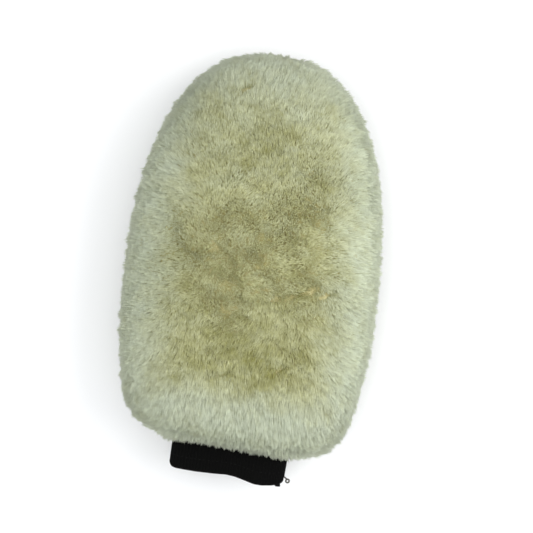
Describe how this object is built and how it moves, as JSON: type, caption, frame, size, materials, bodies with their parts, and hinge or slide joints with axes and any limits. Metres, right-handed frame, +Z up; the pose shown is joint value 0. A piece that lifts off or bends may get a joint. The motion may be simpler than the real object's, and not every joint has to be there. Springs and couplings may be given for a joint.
{
  "type": "wash mitt",
  "caption": "Oval wool wash mitt with pile on both faces, a lined hand pocket and a black folded rib-knit elastic cuff, lying flat on its back pile.",
  "frame": {"origin": "under the middle of the whole mitt's bounding box, on the plane its back wool rests on", "axes": "+X across the mitt, +Y from the cuff towards the round tip, +Z up out of the front wool"},
  "size_m": [0.1706, 0.2848, 0.0721],
  "materials": {
    "wool": "natural cream wool, matt, clumped in locks",
    "hide": "undyed suede flesh side",
    "lining": "plain woven polyester",
    "pale_thread": "twisted polyester thread",
    "black_thread": "twisted polyester thread",
    "grey_thread": "loose overlock thread",
    "knit": "one-by-one rib knit, matt",
    "elastic": "covered rubber cords, woven"
  },
  "bodies": {
    "mitt": {"front_pile": "wool", "back_pile": "wool", "front_hide": "hide", "back_hide": "hide", "front_lining": "lining", "back_lining": "lining", "hide_seam_thread": "pale_thread", "lining_seam_thread": "pale_thread", "lining_tip_tack": "pale_thread", "mouth_seam_thread": "black_thread"},
    "cuff": {"cuff_knit": "knit", "cuff_elastic": "elastic", "cuff_hem_thread": "black_thread", "cuff_side_seam_thread": "black_thread", "cuff_bartack": "black_thread"},
    "thread_end": {"chain_tail": "grey_thread"}
  },
  "joints": [
    {"name": "cuff_fold", "type": "hinge", "parent": "mitt", "child": "cuff", "pos_m": [0, -0.09489, 0.034], "axis": [-0.9994, 0.035, 0], "range_deg": [-20, 30], "stiffness_Nm_per_rad": 0.15},
    {"name": "thread_end_swing", "type": "hinge", "parent": "cuff", "child": "thread_end", "pos_m": [0.0409, -0.13418, 0.034], "axis": [0, 1, 0], "range_deg": [-40, 80]}
  ]
}
